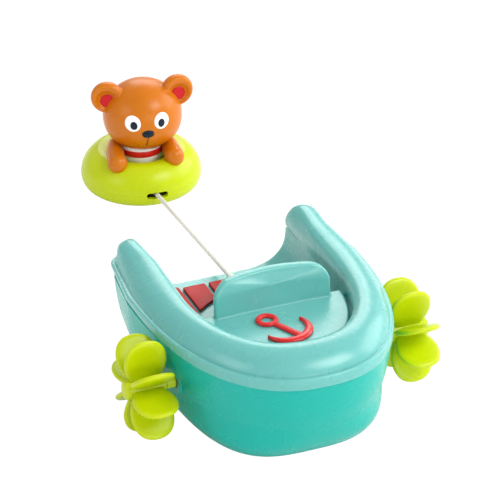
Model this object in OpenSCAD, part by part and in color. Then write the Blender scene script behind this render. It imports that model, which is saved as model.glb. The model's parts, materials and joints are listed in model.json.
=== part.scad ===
// Toy paddle boat with a cord-wound spring motor, towing a bear in a swim ring.
// Millimetres. Origin: on the ground under the paddle axle, on the centreline.
// -Y is the bow, +Y the stern, +X the port side, +Z up.

/* [Boat] */
// height of the paddle axle above the ground
axle_z = 29; // [25:0.5:33]
// half beam at the outside of the rim
half_beam = 59.7; // [55:0.1:64]
// y of the bow tip
bow_y = -60.8; // [-66:0.1:-55]
// y of the stern face
stern_y = 83; // [78:0.5:90]
// height of the rim crest
crest_z = 62; // [58:0.5:66]
// wall thickness of the moulded shells
wall = 2.2; // [1.6:0.1:3]

/* [Paddle wheels] */
// radius to the petal tips
wheel_r = 25.5; // [20:0.5:27]
// number of petals on each wheel
petals = 8; // [4:1:10]
// distance from the centreline to a wheel's middle
wheel_x = 67.3; // [66:0.1:72]
// petal thickness
petal_t = 3.3; // [2:0.1:5]

/* [Motor] */
// gear module
mod = 1; // [1:0.1:1.2]
// teeth on the drum gear
drum_teeth = 24; // [20:1:26]
// teeth on the axle pinion
pinion_teeth = 16; // [12:1:18]
// radius at which the cord winds
wind_r = 9; // [7:0.5:10]

/* [Bear and ring] */
// outer radius of the swim ring
ring_r = 32.9; // [28:0.1:36]
// height of the swim ring
ring_h = 23.2; // [18:0.1:26]
// radius of the pull cord
cord_r = 1.15; // [0.6:0.05:1.3]

/* [View] */
// which piece to show

/* [Hidden] */

teal = [0, 0.62, 0.58];
turquoise = [0.5, 0.8, 0.76];
lime = [0.75, 0.82, 0.05];
red = [0.82, 0.1, 0.12];
brown = [0.78, 0.45, 0.2];
steel = [0.7, 0.7, 0.72];
white = [0.95, 0.95, 0.93];
dark = [0.08, 0.08, 0.14];
natural = [0.93, 0.93, 0.9];
black = [0.15, 0.15, 0.15];

shaft_r = 2;           // axle and drum shaft
bush_r = 4.5;
seal_r = 3.6;
drum_y = 16.5;
drum_z = 40.6;
motor_screw_x = 18.8;  // either side of the centreline
motor_screw_ys = [-6, 24];
hull_screws_at = [[30, -20], [36, 50], [-30, -20], [-36, 50]];
cord_exit = [0, 55.2, 42];

// ---- Shared helpers ----
function pos_pow(v, p) = pow(max(v, 0), p);
function lerp(a, b, t) = a + (b - a) * t;
function clamp01(v) = min(max(v, 0), 1);
function reversed(list) = [for (i = [len(list) - 1:-1:0]) list[i]];
// 2D points mirrored in x and taken backwards, down to index first
function mirror_back(pts, first = 0) =
  [for (i = [len(pts) - 1:-1:first]) [-pts[i].x, pts[i].y]];
function at_y(pts, y) = [for (p = pts) [p.x, y, p.y]];

// triangles joining count loops of n points
function side_faces(count, n) = [
  for (i = [0:count - 2]) for (j = [0:n - 1])
    let(k = (j + 1) % n, a = i * n, b = a + n)
      each [[a + j, b + j, b + k], [a + j, b + k, a + k]]];

// solid through a stack of equal-length rings, closed by flat caps
module stack(rings) {
  n = len(rings[0]);
  last = (len(rings) - 1) * n;
  polyhedron(
    points = [for (r = rings) each r],
    faces = concat(
      [[for (j = [0:n - 1]) j]],
      [[for (j = [n - 1:-1:0]) last + j]],
      side_faces(len(rings), n)));
}

// solid swept through sections, each an outer chain then an equal inner chain running back
module strip(sections) {
  n = len(sections[0]);
  last = (len(sections) - 1) * n;
  polyhedron(
    points = [for (s = sections) each s],
    faces = concat(
      [for (i = [0:n / 2 - 2]) let(k = n - 2 - i) each [[i, i + 1, k], [i, k, k + 1]]],
      [for (i = [0:n / 2 - 2]) let(a = last + i, k = last + n - 2 - i)
        each [[a, k, a + 1], [a, k + 1, k]]],
      side_faces(len(sections), n)));
}

// cylinder along x
module x_cyl(x0, x1, r, fn = 48)
  translate([x0, 0, 0]) rotate([0, 90, 0]) cylinder(r = r, h = x1 - x0, $fn = fn);

module both_sides() {
  children();
  mirror([1, 0, 0]) children();
}
module at_axle() translate([0, 0, axle_z]) children();
module at_drum() translate([0, drum_y, drum_z]) children();
module at_motor_screws() for (s = [-1, 1]) for (y = motor_screw_ys)
  translate([s * motor_screw_x, y, 0]) children();

// ---- Boat plan ----
widest_y = 44.3;
bow_steps = 22;
side_steps = 8;
plan_steps = bow_steps + side_steps;
rim_power = 2.34;  // superellipse power of the bow

// bow quarter of the outer plan, from the tip to the widest point
function bow_point(i, inset, power, tip_inset = 0) = let(a = 90 * i / bow_steps) [
  (half_beam - inset) * pos_pow(sin(a), 2 / power),
  widest_y - (widest_y - bow_y - inset - tip_inset) * pos_pow(cos(a), 2 / power)];
// the sides taper in behind the widest point
function side_x(y, inset) = half_beam - inset - 11.7 * (y - widest_y) / 95;

// ---- Hull ----
// height, inset of the outside
hull_levels = [
  [0, 19], [0.9, 16.8], [2.2, 14.8], [4, 13], [7, 10.8], [10, 9], [15, 7], [20, 5.5],
  [29, 3], [38, 1.5], [47.4, 0.6]];
// half of the cockpit section: x, z
cockpit_half = [
  [39.6, 62], [39.3, 50], [38.4, 42.5], [36.9, 38.8], [34.6, 36], [30.4, 32.8], [25, 31],
  [19, 30]];

// the plan grows squarer towards the base
function hull_power(z) = let(u = clamp01((26 - z) / 26)) rim_power + 0.9 * u * u * (3 - 2 * u);

// half plan from the bow round the stern corner
function half_plan(inset, stern, corner_r, power, tip_inset) =
  let(corner_y = stern - corner_r, x = side_x(corner_y, inset)) concat(
    [for (i = [0:bow_steps]) bow_point(i, inset, power, tip_inset)],
    [for (k = [1:3]) let(y = lerp(widest_y, corner_y, k / 3)) [side_x(y, inset), y]],
    [for (a = [15:15:90]) [x - corner_r * (1 - cos(a)), corner_y + corner_r * sin(a)]],
    [[(x - corner_r) / 2, stern]]);

// closed ring at height z, a thickness t inside the outer surface
function hull_ring(z, inset, t) =
  let(
    stern = stern_y - 0.45 * inset - t,
    half = half_plan(inset + t, stern, max(14 - t, 4), hull_power(z), 0.25 * inset))
  [for (p = concat(half, [[0, stern]], mirror_back(half, 1))) [p.x, p.y, z]];

module hull_outer() stack([for (q = hull_levels) hull_ring(q[0], q[1], 0)]);

// the cavity starts at z = 2.6 and runs out through the top
module hull_inner() stack([for (q = hull_levels) if (q[0] > 2)
  let(lowest = q[0] < 3, z = lowest ? 2.6 : q[0] >= 47 ? 48 : q[0])
    hull_ring(z, q[1] + (lowest ? 1.5 : 0), wall)]);

// cockpit section grown by a margin, extruded from y0 to y1
module cockpit_cut(margin, y0, y1) {
  half = [for (p = cockpit_half) [p.x + margin, p.y - (p.y < 33 ? margin : margin * 0.5)]];
  translate([0, y1, 0]) rotate([90, 0, 0]) linear_extrude(y1 - y0)
    polygon(concat(half, mirror_back(half)));
}

module hull_shell() color(teal) difference() {
  union() {
    difference() {
      hull_outer();
      hull_inner();
      cockpit_cut(2.35, 60, 100);
    }
    // axle bosses, screw posts and motor blocks, trimmed to the hull
    intersection() {
      hull_outer();
      union() {
        both_sides() at_axle() x_cyl(44, 60, 7);
        for (p = hull_screws_at) translate([p.x, p.y, 1]) cylinder(r = 4, h = 25, $fn = 32);
        at_motor_screws() translate([-3.5, -3, 1]) cube([7, 6, 16]);
      }
    }
  }
  both_sides() at_axle() x_cyl(40, 62, bush_r);
  for (p = hull_screws_at) translate([p.x, p.y, -1]) {
    cylinder(r = 1.3, h = 40, $fn = 24);
    cylinder(r = 2.9, h = 5.2, $fn = 32);
  }
  at_motor_screws() translate([0, 0, 5]) cylinder(r = 0.92, h = 20, $fn = 20);
}

// ---- Deck ----
// rim faces: distance in from the outer edge, height with the crest at 62
rim_width = 20;
rim_top = [
  [0.5, 47.5], [0, 48.1], [0, 52.4], [0.4, 53.2], [1.3, 53.5], [2.2, 54.9], [4.6, 57.7],
  [7.8, 60.1], [11.4, 61.5], [14.8, 62], [17.6, 61.3], [19.4, 59.6], [20, 57.3], [20.2, 52],
  [20.6, 47]];
rim_under = [
  [2.3, 47.5], [2.3, 48.1], [2.4, 51.2], [2.9, 51.8], [3.4, 52.4], [4.2, 53.6], [6.2, 55.8],
  [8.9, 57.9], [12.1, 59.2], [14.6, 59.7], [16.2, 59.3], [17.4, 58.2], [17.8, 56.8], [18, 52],
  [18.4, 47]];
// opening inside the rim: half width, y of its widest point, length from there to its bow end
opening_w = 40;
opening_y = 25;
opening_len = 63;
opening_power = 2.3;
bulkhead_y = 8.6;
panel_t = 2.2;

function outer_edge(i) = i <= bow_steps ? bow_point(i, 0, rim_power) : let(
  t = (i - bow_steps) / side_steps,
  y = lerp(widest_y, stern_y, 1 - pos_pow(1 - t, 1.8)),
  c = clamp01((y - stern_y + 8) / 8))
  [side_x(y, 0) - 8 * (1 - sqrt(1 - c * c)), y];

function inner_edge(i) = i <= bow_steps
  ? let(a = 90 * i / bow_steps) [
      opening_w * pos_pow(sin(a), 2 / opening_power),
      opening_y - opening_len * pos_pow(cos(a), 2 / opening_power)]
  : let(t = (i - bow_steps) / side_steps) [
      lerp(opening_w, 39.5, t),
      lerp(opening_y, stern_y, 1 - pos_pow(1 - t, 1.6))];

// the rim's lower edge rises towards the stern
function sheer(y) = 4 * clamp01((y + 20) / (stern_y + 20));
// height factor that rounds the rim down to the stern ends
function horn(y) = let(t = clamp01((y - stern_y + 9) / 9)) 1 - 0.5 * (1 - sqrt(1 - t * t));

function rim_point(i, q) = let(
  outer = outer_edge(i),
  inner = inner_edge(i),
  u = q[0] / rim_width,
  x = lerp(outer.x, inner.x, u),
  y = lerp(outer.y, inner.y, u),
  z = crest_z - 62 + q[1] + sheer(y) * clamp01((53.6 - q[1]) / 6)
    + 2 * clamp01((y - 15) / 55) * clamp01((q[1] - 53.6) / 6))
  [x, y, z > 51 && q[0] < 20.1 ? 51 + (z - 51) * horn(y) : z];
function rim_section(i) = [for (q = concat(rim_top, reversed(rim_under))) rim_point(i, q)];

module rim() strip(concat(
  [for (i = [plan_steps:-1:0]) rim_section(i)],
  [for (i = [1:plan_steps]) [for (p = rim_section(i)) [-p.x, p.y, p.z]]]));

// plan of the opening from its bow end to y_end, shrunk by an inset
function opening_plan(inset, y_end) = let(half = [
  for (i = [0:plan_steps]) let(p = inner_edge(i)) if (p.y <= y_end) [
    p.x * (opening_w - inset) / opening_w,
    p.y + inset * clamp01(-p.y / (opening_len - opening_y))]])
  concat(half, mirror_back(half, 1));

// hump over the motor: y, top height
hump_tops = [
  [8, 57], [14, 57], [22, 56.8], [30, 55.2], [38, 52.4], [46, 49], [50, 47.6], [54, 45.8],
  [57, 43.6], [59.5, 41.4], [61.6, 38.5]];
function hump_half_width(y) = max(26 * pow(max(1 - (y - 8) / 54.5, 0.0001), 0.6), 3.2);
// section x, z of the hump, shrunk by an inset
function hump_section(y, top, inset, base) =
  let(w = hump_half_width(y) - inset, h = top - inset - base)
  [for (a = [180:-10:0]) let(c = cos(a))
    [sign(c) * w * pow(abs(c), 0.5), base + h * pow(sin(a), 0.42)]];

// the end stations move to y0 and y1
module hump(inset, base, y0, y1) {
  last = len(hump_tops) - 1;
  stack([for (i = [0:last]) let(q = hump_tops[i])
    at_y(hump_section(q[0], q[1], inset, base), i == 0 ? y0 : i == last ? y1 : q[0])]);
}

// upright curved screen with rounded top corners and a crowned top
module cowl() {
  w = 29.3;
  h = 22.2;
  corner_r = 9;
  crown_r = 159.6;
  bend_r = 90;
  intersection() {
    translate([0, 26, 50]) rotate([90, 0, 0]) linear_extrude(30) intersection() {
      union() {
        translate([-w, 0]) square([2 * w, h - corner_r]);
        translate([-w + corner_r, 0]) square([2 * (w - corner_r), h]);
        for (s = [-1, 1]) translate([s * (w - corner_r), h - corner_r])
          circle(r = corner_r, $fn = 40);
      }
      translate([0, h - crown_r]) circle(r = crown_r, $fn = 180);
    }
    translate([0, -80.5, 0]) difference() {
      cylinder(r = bend_r, h = 90, $fn = 180);
      translate([0, 0, -1]) cylinder(r = bend_r - 2.4, h = 92, $fn = 180);
    }
  }
}

// cockpit floor and sides
module tub() strip([
  for (y = [stern_y, 60, 30, bulkhead_y - panel_t]) let(
    widen = y > 25 ? 0.4 * clamp01((stern_y - y) / 58) : 0.2,
    inner = [for (p = cockpit_half) if (p.y < 51) [p.x + widen, p.y]],
    outer = [for (p = inner) [
      p.x + (p.y > 31.5 ? 2 : 0.6),
      p.y - (p.y > 40 ? 0 : p.y > 31.5 ? 1.2 : 2)]])
  at_y(concat(inner, mirror_back(inner), reversed(concat(outer, mirror_back(outer)))), y)]);

// outline halves: x, z
bulkhead_half = [[-19, 0], [-25, 1.4], [-31, 4], [-36, 8], [-39, 12], [-40.6, 22]];
stern_panel = [
  [40.2, 51.6], [45.7, 51.6], [45.4, 53.2], [44.6, 54.6], [43.4, 55.8], [42, 56.5],
  [41, 56.6], [40.2, 56.2]];

module deck_shell() color(turquoise) difference() {
  union() {
    rim();
    tub();
    // deck between the bow and the cockpit, with a gutter round it
    translate([0, 0, 47.2]) linear_extrude(3.4) polygon(opening_plan(-1.2, bulkhead_y));
    translate([0, 0, 48]) linear_extrude(6) polygon(opening_plan(3.2, bulkhead_y));
    // bulkhead at the front of the cockpit
    translate([0, bulkhead_y, 28]) rotate([90, 0, 0]) linear_extrude(panel_t)
      polygon(concat(bulkhead_half, mirror_back(bulkhead_half)));
    hump(0, 29, 8, 62);
    cowl();
    // stern closing panels under the rim ends
    both_sides() translate([0, stern_y, 0]) rotate([90, 0, 0]) linear_extrude(panel_t)
      polygon(stern_panel);
    // screw posts
    difference() {
      for (p = hull_screws_at) translate([p.x, p.y, 26.2])
        cylinder(r = 3.6, h = p.y < 0 ? 22 : 9.6, $fn = 32);
      cockpit_cut(0, 40, 60);
    }
  }
  // hollows under the foredeck and the hump
  translate([0, 0, 40]) linear_extrude(11.8)
    polygon(opening_plan(5.6, bulkhead_y - panel_t));
  hump(2, 20, 9.5, 60.2);
  translate([-19, -30, 20]) cube([38, 45, 31.8]);
  translate([-17.6, 3, 20]) cube([35.2, 29, 11.5]);
  for (p = hull_screws_at) translate([p.x, p.y, 20])
    cylinder(r = 1.1, h = p.y < 0 ? 22 : 13.6, $fn = 24);
  // fairlead hole
  translate([0, 64, cord_exit.z]) rotate([90, 0, 0]) cylinder(r = 2, h = 9.6, $fn = 32);
}

slat_z = 30.02;
slat_end_y = 76;

// slat centred on x; cuts shift the bow end back at its low-x edge, middle and high-x edge
module slat(x, y0, cuts, w) translate([x - w, 0, slat_z]) linear_extrude(1.5) polygon([
  [0, y0 + cuts[0]], [w, y0 + cuts[1]], [2 * w, y0 + cuts[2]],
  [2 * w, slat_end_y - 0.6], [2 * w - 0.6, slat_end_y],
  [0.6, slat_end_y], [0, slat_end_y - 0.6]]);

module floor_slats() color(red) {
  slat(0, 64.4, [0, 0, 0], 5.4);
  both_sides() {
    slat(13.1, 50, [10, 6.5, 2], 5.85);
    // the outermost slats tilt up with the floor
    translate([21.2, 0, 30.56]) rotate([0, -14.8, 0]) translate([-21.2, 0, -slat_z])
      slat(25.6, 26, [8, 4, 0], 4.4);
  }
}

// flat anchor on the foredeck: ring, shank, curved arms and flukes
module deck_anchor() color(red) {
  t = 1.8;
  translate([-7.95, -6, 54.02]) rotate([0, 0, -63.44]) difference() {
    union() {
      cylinder(r = 6, h = t, $fn = 40);
      translate([4.6, -1.5, 0]) cube([17.4, 3, t]);
      intersection() {
        translate([11.2, 0, 0]) difference() {
          cylinder(r = 12.3, h = t, $fn = 96);
          translate([-1.6, 0, -1]) cylinder(r = 9.6, h = 4, $fn = 96);
        }
        translate([13, -20, 0]) cube([20, 40, 2]);
      }
      for (s = [-1, 1]) translate([13.6, s * 11.2, 0]) linear_extrude(t)
        polygon([[-4.6, s * 0.6], [3, s * 2.6], [2.2, -s * 4.4]]);
    }
    translate([0, 0, -1]) cylinder(r = 3, h = 4, $fn = 32);
  }
}

module hull_screws() color(steel) for (p = hull_screws_at) translate([p.x, p.y, 2.5]) {
  cylinder(r = 2.6, h = 1.66, $fn = 32);
  cylinder(r = 1.08, h = p.y < 0 ? 34 : 30, $fn = 24);
}

// ---- Paddle wheels and axle ----
// half profile of a round blade: radius, fraction of the petal thickness
blade_profile = [
  [0, -0.5], [9.4, -0.5], [10.3, -0.32], [10.65, 0], [10.3, 0.32], [9.4, 0.5], [0, 0.5]];

// round blade with a bevelled edge, and its root on the hub
module petal() {
  translate([wheel_r - 11, 0, 0]) rotate_extrude($fn = 64)
    polygon([for (p = blade_profile) [p.x, p.y * petal_t]]);
  translate([3, -6.5, -petal_t / 2 + 0.2]) cube([9, 13, petal_t - 0.4]);
}

// petals whose planes hold the axle, on a hub; phase in degrees
module wheel(phase) difference() {
  union() {
    for (i = [0:petals - 1])
      rotate([180 - phase + i * 360 / petals, 0, 0]) rotate([0, 0, 90]) petal();
    x_cyl(-10.4, 10.4, 4.6);
    x_cyl(-14.7, -10, 3.2);
  }
  x_cyl(-16, 8.6, shaft_r + 0.01);
}

module paddle_wheel_port() color(lime) translate([wheel_x, 0, axle_z]) wheel(28.5);

module paddle_wheel_starboard() color(lime)
  translate([-wheel_x, 0, axle_z]) mirror([1, 0, 0]) wheel(40.5);

module axle_shaft() color(steel) at_axle() x_cyl(-75.8, 75.8, shaft_r);

module wheel_clips() color(steel) both_sides() at_axle() difference() {
  x_cyl(42.2, 43.2, 3.6);
  x_cyl(42, 43.4, shaft_r);
}

module axle_bushes() color(natural) both_sides() at_axle() difference() {
  x_cyl(43.6, 52.4, bush_r);
  x_cyl(43, 54, shaft_r + 0.05);
  x_cyl(49.8, 54, seal_r);
}

module axle_seals() color(black) both_sides() at_axle() difference() {
  x_cyl(49.9, 52.2, seal_r);
  x_cyl(49, 54, shaft_r + 0.04);
}

// ---- Gears ----
backlash = 0.16;
deg_per_rad = 57.3;
// direction from the axle to the drum shaft
mesh_angle = atan2(drum_z - axle_z, drum_y);

// spur gear outline with straight-sided teeth on the pitch circle
function gear_outline(teeth) = let(
  pitch_r = teeth * mod / 2,
  tip_r = pitch_r + mod * 0.95,
  root_r = pitch_r - mod * 1.2,
  half = 90 / teeth - backlash / 2 / pitch_r * deg_per_rad,
  // one flank: angle, radius
  flank = [
    [-half * 1.62, root_r], [-half * 1.3, pitch_r - 0.45 * mod], [-half, pitch_r],
    [-half * 0.72, pitch_r + 0.5 * mod], [-half * 0.42, tip_r]],
  tooth = concat(flank, mirror_back(flank)))
  [for (i = [0:teeth - 1]) for (q = tooth)
    let(a = i * 360 / teeth + q[0]) [q[1] * cos(a), q[1] * sin(a)]];

module x_gear(teeth, x0, w, phase) difference() {
  translate([x0, 0, 0]) rotate([90, 0, 90]) linear_extrude(w) rotate(phase)
    polygon(gear_outline(teeth));
  x_cyl(x0 - 1, x0 + w + 1, shaft_r);
}

module axle_pinion() color(white) at_axle() {
  x_gear(pinion_teeth, -13.2, 5, mesh_angle);
  difference() {
    x_cyl(-8.2, -4.2, 5);
    x_cyl(-9, -4, shaft_r);
  }
}

module drum_gear() color(white) at_drum()
  x_gear(drum_teeth, -13, 4.6, mesh_angle + 180 + 180 / drum_teeth);

// ---- Motor frame ----
plate_x = 14;  // inner face of each side plate
plate_t = 2;
foot_w = 8.3;
foot_z = 17.02;
foot_t = 1.6;
spacer_ys = [-9.5, 24];
spacer_z = 21.5;

// side plate from x0 towards +x, drawn in y, z
module plate(x0) difference() {
  translate([x0, 0, 0]) rotate([90, 0, 90]) linear_extrude(plate_t) difference() {
    union() {
      translate([-13, foot_z]) square([40, 7.5]);
      translate([-8, foot_z]) square([16, 12]);
      translate([0, axle_z]) circle(r = 8, $fn = 64);
      translate([drum_y, drum_z]) circle(r = 8.5, $fn = 64);
      polygon([
        [-8, 23], [-8, axle_z], [drum_y - 6, drum_z + 6], [drum_y + 8.4, drum_z - 1],
        [26, 23]]);
    }
    for (y = spacer_ys) translate([y, spacer_z]) circle(r = 1.62, $fn = 24);
  }
  at_axle() x_cyl(x0 - 1, x0 + plate_t + 1, shaft_r + 0.05);
  at_drum() x_cyl(x0 - 1, x0 + plate_t + 1, shaft_r + 0.05);
}

// two feet from x0 towards +x, with screw holes at hole_x
module feet(x0, hole_x) difference() {
  for (y = motor_screw_ys) translate([x0, y - 3, foot_z]) cube([foot_w, 6, foot_t]);
  for (y = motor_screw_ys) translate([hole_x, y, 10]) cylinder(r = 1.01, h = 16, $fn = 24);
}

module motor_plate_port() color(natural) {
  plate(plate_x);
  feet(plate_x, motor_screw_x);
}

module motor_plate_starboard() color(natural) {
  plate(-plate_x - plate_t);
  feet(-plate_x - foot_w, -motor_screw_x);
}

module motor_spacers() color(steel) for (y = spacer_ys) translate([0, y, spacer_z]) {
  x_cyl(-13.98, 13.98, 2.4);
  x_cyl(-17.2, 17.2, 1.6);
}

module motor_screws() color(steel) at_motor_screws() {
  head_z = foot_z + foot_t;
  translate([0, 0, 8]) cylinder(r = 0.9, h = head_z - 8, $fn = 24);
  translate([0, 0, head_z]) cylinder(r = 1.9, h = 1, $fn = 28);
}

// ---- Drum and spring ----
module drum_shaft() color(steel) at_drum() x_cyl(-17.4, 17.4, shaft_r);

module cord_drum() color(white) at_drum() difference() {
  union() {
    x_cyl(-8.4, 5.8, wind_r - cord_r - 0.02);
    x_cyl(-8.4, -3.6, 10.4);
    x_cyl(3.6, 5.6, 12);
    x_cyl(5.6, 7.2, 4);
  }
  x_cyl(-9, 8, shaft_r);
}

module spring_cup() color(natural) at_drum() difference() {
  x_cyl(7.6, 14, 12.6, 72);
  x_cyl(7.4, 12.8, 11.4, 72);
  x_cyl(7, 15, 2.3);
}

spring_turns = 4.5;
spring_steps = 108;
// one face of the spiral strip, offset outwards
function spiral(offset_r) = [for (i = [0:spring_steps])
  let(t = i / spring_steps, a = t * 360 * spring_turns, r = 4.1 + 6.6 * t + offset_r)
    [r * cos(a), r * sin(a)]];

// spiral strip round a sleeve, inside the cup
module mainspring() color(steel) at_drum() {
  translate([8, 0, 0]) rotate([90, 0, 90]) linear_extrude(4.4)
    polygon(concat(spiral(0), reversed(spiral(0.45))));
  difference() {
    x_cyl(8, 12.4, 4.3);
    x_cyl(7, 13, 2.06);
  }
}

// ---- Cord ----
coil_pitch = 2.34;
tow_start = [0, 59.1, 42.1];
tow_end = [18.76, 212.2, 8.6];
run_z = drum_z - wind_r - 0.9;  // where the cord leaves the drum
run_y = 8.6;                    // start of the straight run, sternward of the drum shaft
run_angle = atan2(cord_exit.z - run_z, cord_exit.y - drum_y);

module cord_coil() color(white) at_drum() for (i = [-1:1])
  translate([i * coil_pitch, 0, 0]) rotate([0, 90, 0]) rotate_extrude($fn = 64)
    translate([wind_r, 0]) circle(r = cord_r - 0.02, $fn = 20);

module cord_inner_run() color(white) {
  translate([0, drum_y + run_y, run_z + run_y * tan(run_angle)])
    rotate([run_angle - 90, 0, 0]) cylinder(r = cord_r, h = 30.86, $fn = 24);
  translate(cord_exit - [0, 0.6, 0]) rotate([-90, 0, 0])
    cylinder(r = cord_r, h = 3.9, $fn = 24);
}

module cord_fairlead() color(natural) translate(cord_exit) rotate([-90, 0, 0]) difference() {
  cylinder(r = 1.98, h = 3.8, $fn = 40);
  translate([0, 0, -1]) cylinder(r = 1.3, h = 6, $fn = 32);
}

module tow_cord() color(white) {
  v = tow_end - tow_start;
  translate(tow_start) rotate([0, acos(v.z / norm(v)), atan2(v.y, v.x)])
    cylinder(r = cord_r, h = norm(v), $fn = 24);
}

module cord_knot() color(white) at_ring() translate([0, -27.4, 8.6]) {
  sphere(r = 1.9, $fn = 24);
  rotate([90, 0, 0]) cylinder(r = cord_r, h = 3.4, $fn = 24);
}

// ---- Swim ring: hollow fat tube in two halves, flattened below ----
ring_at = [21.3, 243.4, 0];
ring_turn = 4.65;
bear_turn = 12;
hole_r = 12.8;
seam_z = 9.1;          // bottom of the upper half
lower_z = 9.08;        // top of the lower half
// outside of each half: radius, height
upper_profile = [
  [14.2, ring_h - 3.4], [15.8, ring_h - 1.2], [19.2, ring_h], [23.4, ring_h - 0.7],
  [27, ring_h - 2.8], [30, ring_h - 6.2], [32, ring_h - 10], [ring_r, seam_z]];
lower_profile = [
  [ring_r, lower_z], [32.5, 5.6], [30.9, 2.8], [28, 0.9], [24, 0.1], [20, 0], [16.6, 0.8],
  [14.4, 2.8]];

module at_ring() translate(ring_at) rotate([0, 0, -ring_turn]) children();
module at_bear() translate(ring_at) rotate([0, 0, -bear_turn]) children();
module at_ring_screws(z) for (a = [60, 180, 300]) rotate(a) translate([22.6, 0, z]) children();
// cord slot through the bow side of the ring
module ring_slot() translate([-6, -40, 7]) cube([12, 16, 3.4]);

module ring_upper() color(lime) at_ring() difference() {
  union() {
    rotate_extrude($fn = 96) polygon(concat(
      upper_profile,
      [for (p = reversed(upper_profile)) [lerp(20.4, p.x, 0.84), lerp(9.1, p.y, 0.84)]],
      [[hole_r, seam_z], [hole_r, 17]]));
    at_ring_screws(9.12) cylinder(r = 2.6, h = 12, $fn = 28);
  }
  ring_slot();
  at_ring_screws(8) cylinder(r = 1, h = 6, $fn = 20);
}

module ring_lower() color(lime) at_ring() difference() {
  union() {
    rotate_extrude($fn = 96) polygon(concat(
      lower_profile,
      [[hole_r, 3.4], [hole_r, lower_z], [15.6, lower_z]],
      [for (p = reversed(lower_profile))
        [lerp(21, p.x, 0.82), min(lerp(9.6, p.y, 0.82), lower_z)]]));
    at_ring_screws(0.6) cylinder(r = 3, h = 8.4, $fn = 28);
  }
  ring_slot();
  at_ring_screws(-1) {
    cylinder(r = 1.2, h = 12, $fn = 20);
    cylinder(r = 2.4, h = 4.4, $fn = 28);
  }
}

module ring_screws() color(steel) at_ring() at_ring_screws(2.02) {
  cylinder(r = 2.2, h = 1.2, $fn = 28);
  cylinder(r = 0.98, h = 10.6, $fn = 20);
}

// ---- Bear, facing the bow ----
head_z = 43;
head_profile = [for (a = [-90:7.5:90])
  [21.5 * pow(max(cos(a), 0), 0.92), head_z + 19.4 * sin(a)]];
// radius, height
body_profile = [
  [0, 3], [8, 3], [10, 5], [11, 10], [11.4, 17], [12, 21], [12, 26.1], [11.4, 27.1],
  [10.2, 27.8], [0, 27.8]];
// radius, depth
ear_profile = [
  [0, 0], [6.7, 0], [8.3, 1.6], [8.8, 3.8], [8.2, 6], [6.8, 7.2], [5.9, 7.2], [5.2, 5.6],
  [0, 5.6]];
// the starboard ear sits lower than the port one
ears_at = [[19.2, 1.5, 56.2], [-19.2, 1.5, 55.2]];
ear_pads_at = [[19.2, 1.5, 55], [-19.2, 1.5, 54.1]];
eye_at = [7.9, -15.6, 45.6];
nose_at = [0, -20.4, 39.8];
shoulder_at = [14.6, -2, 24.6];
shoulder_r = 4.5;
hand_r = 5.3;

module bear_body() color(white) at_bear() rotate_extrude($fn = 72) polygon(body_profile);

module bear_shirt_stripe() color(red) at_bear() translate([0, 0, 22.4]) difference() {
  cylinder(r = 12.4, h = 3.6, $fn = 72);
  translate([0, 0, -1]) cylinder(r = 12.02, h = 6, $fn = 72);
}

// arms rest on the ring, clear of the body and the head
module bear_arms() color(brown) difference() {
  at_bear() both_sides() {
    translate([15.8, -18.2, 24.6]) sphere(r = hand_r, $fn = 32);
    translate(shoulder_at) sphere(r = shoulder_r, $fn = 32);
    translate(shoulder_at) rotate([90, 0, 4.24])
      cylinder(r1 = shoulder_r, r2 = hand_r, h = 16.24, $fn = 32);
  }
  at_bear() cylinder(r = 12.82, h = 60, $fn = 72);
  at_bear() rotate_extrude($fn = 72)
    polygon([for (p = head_profile) [p.x < 0.01 ? 0 : p.x + 0.06, p.y - 0.06]]);
  at_ring() rotate_extrude($fn = 96) polygon(concat(
    [for (p = upper_profile) [p.x, p.y + 0.35]],
    [[hole_r, seam_z], [hole_r, 17.35]]));
}

module bear_head() color(brown) at_bear() difference() {
  union() {
    rotate_extrude($fn = 72) polygon(head_profile);
    for (p = ears_at) translate(p) rotate([90, 0, 0]) translate([0, 0, -3.6])
      rotate_extrude($fn = 48) polygon(ear_profile);
  }
  cylinder(r = 13, h = 27.82, $fn = 64);
  both_sides() translate(eye_at) {
    sphere(r = 5.08, $fn = 40);
    translate([0, -1.9, 0]) rotate([90, 0, 0]) cylinder(r = 2.2, h = 5, $fn = 32);
  }
  translate(nose_at) sphere(r = 3.08, $fn = 32);
}

module bear_ear_pads() color(red) at_bear() difference() {
  for (p = ear_pads_at) translate(p) rotate([90, 0, 0]) translate([0, 0, 2.02])
    cylinder(r = 3.9, h = 1.2, $fn = 40);
  rotate_extrude($fn = 72) polygon([for (p = head_profile)
    [p.x < 0.01 ? 0 : p.x + 0.05, p.y + (p.y > 43 ? 0.05 : 0)]]);
}

module bear_eyes() color(white) at_bear() both_sides() translate(eye_at) difference() {
  sphere(r = 4.98, $fn = 40);
  translate([0, -5, 0]) rotate([90, 0, 0])
    cylinder(r = 2.12, h = 6, center = true, $fn = 32);
}

module bear_pupils() color(dark) at_bear() both_sides()
  translate(eye_at + [0, -2.02, 0]) rotate([90, 0, 0]) cylinder(r = 2.08, h = 2.9, $fn = 32);

module bear_nose() color(dark) at_bear() translate(nose_at) sphere(r = 2.98, $fn = 32);

hull_shell();
deck_shell();
floor_slats();
deck_anchor();
paddle_wheel_port();
paddle_wheel_starboard();
axle_shaft();
axle_bushes();
axle_seals();
axle_pinion();
motor_plate_port();
motor_plate_starboard();
motor_spacers();
motor_screws();
drum_shaft();
cord_drum();
drum_gear();
spring_cup();
mainspring();
cord_coil();
cord_inner_run();
cord_fairlead();
wheel_clips();
hull_screws();
tow_cord();
cord_knot();
ring_upper();
ring_lower();
ring_screws();
bear_body();
bear_shirt_stripe();
bear_arms();
bear_head();
bear_ear_pads();
bear_eyes();
bear_pupils();
bear_nose();
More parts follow.
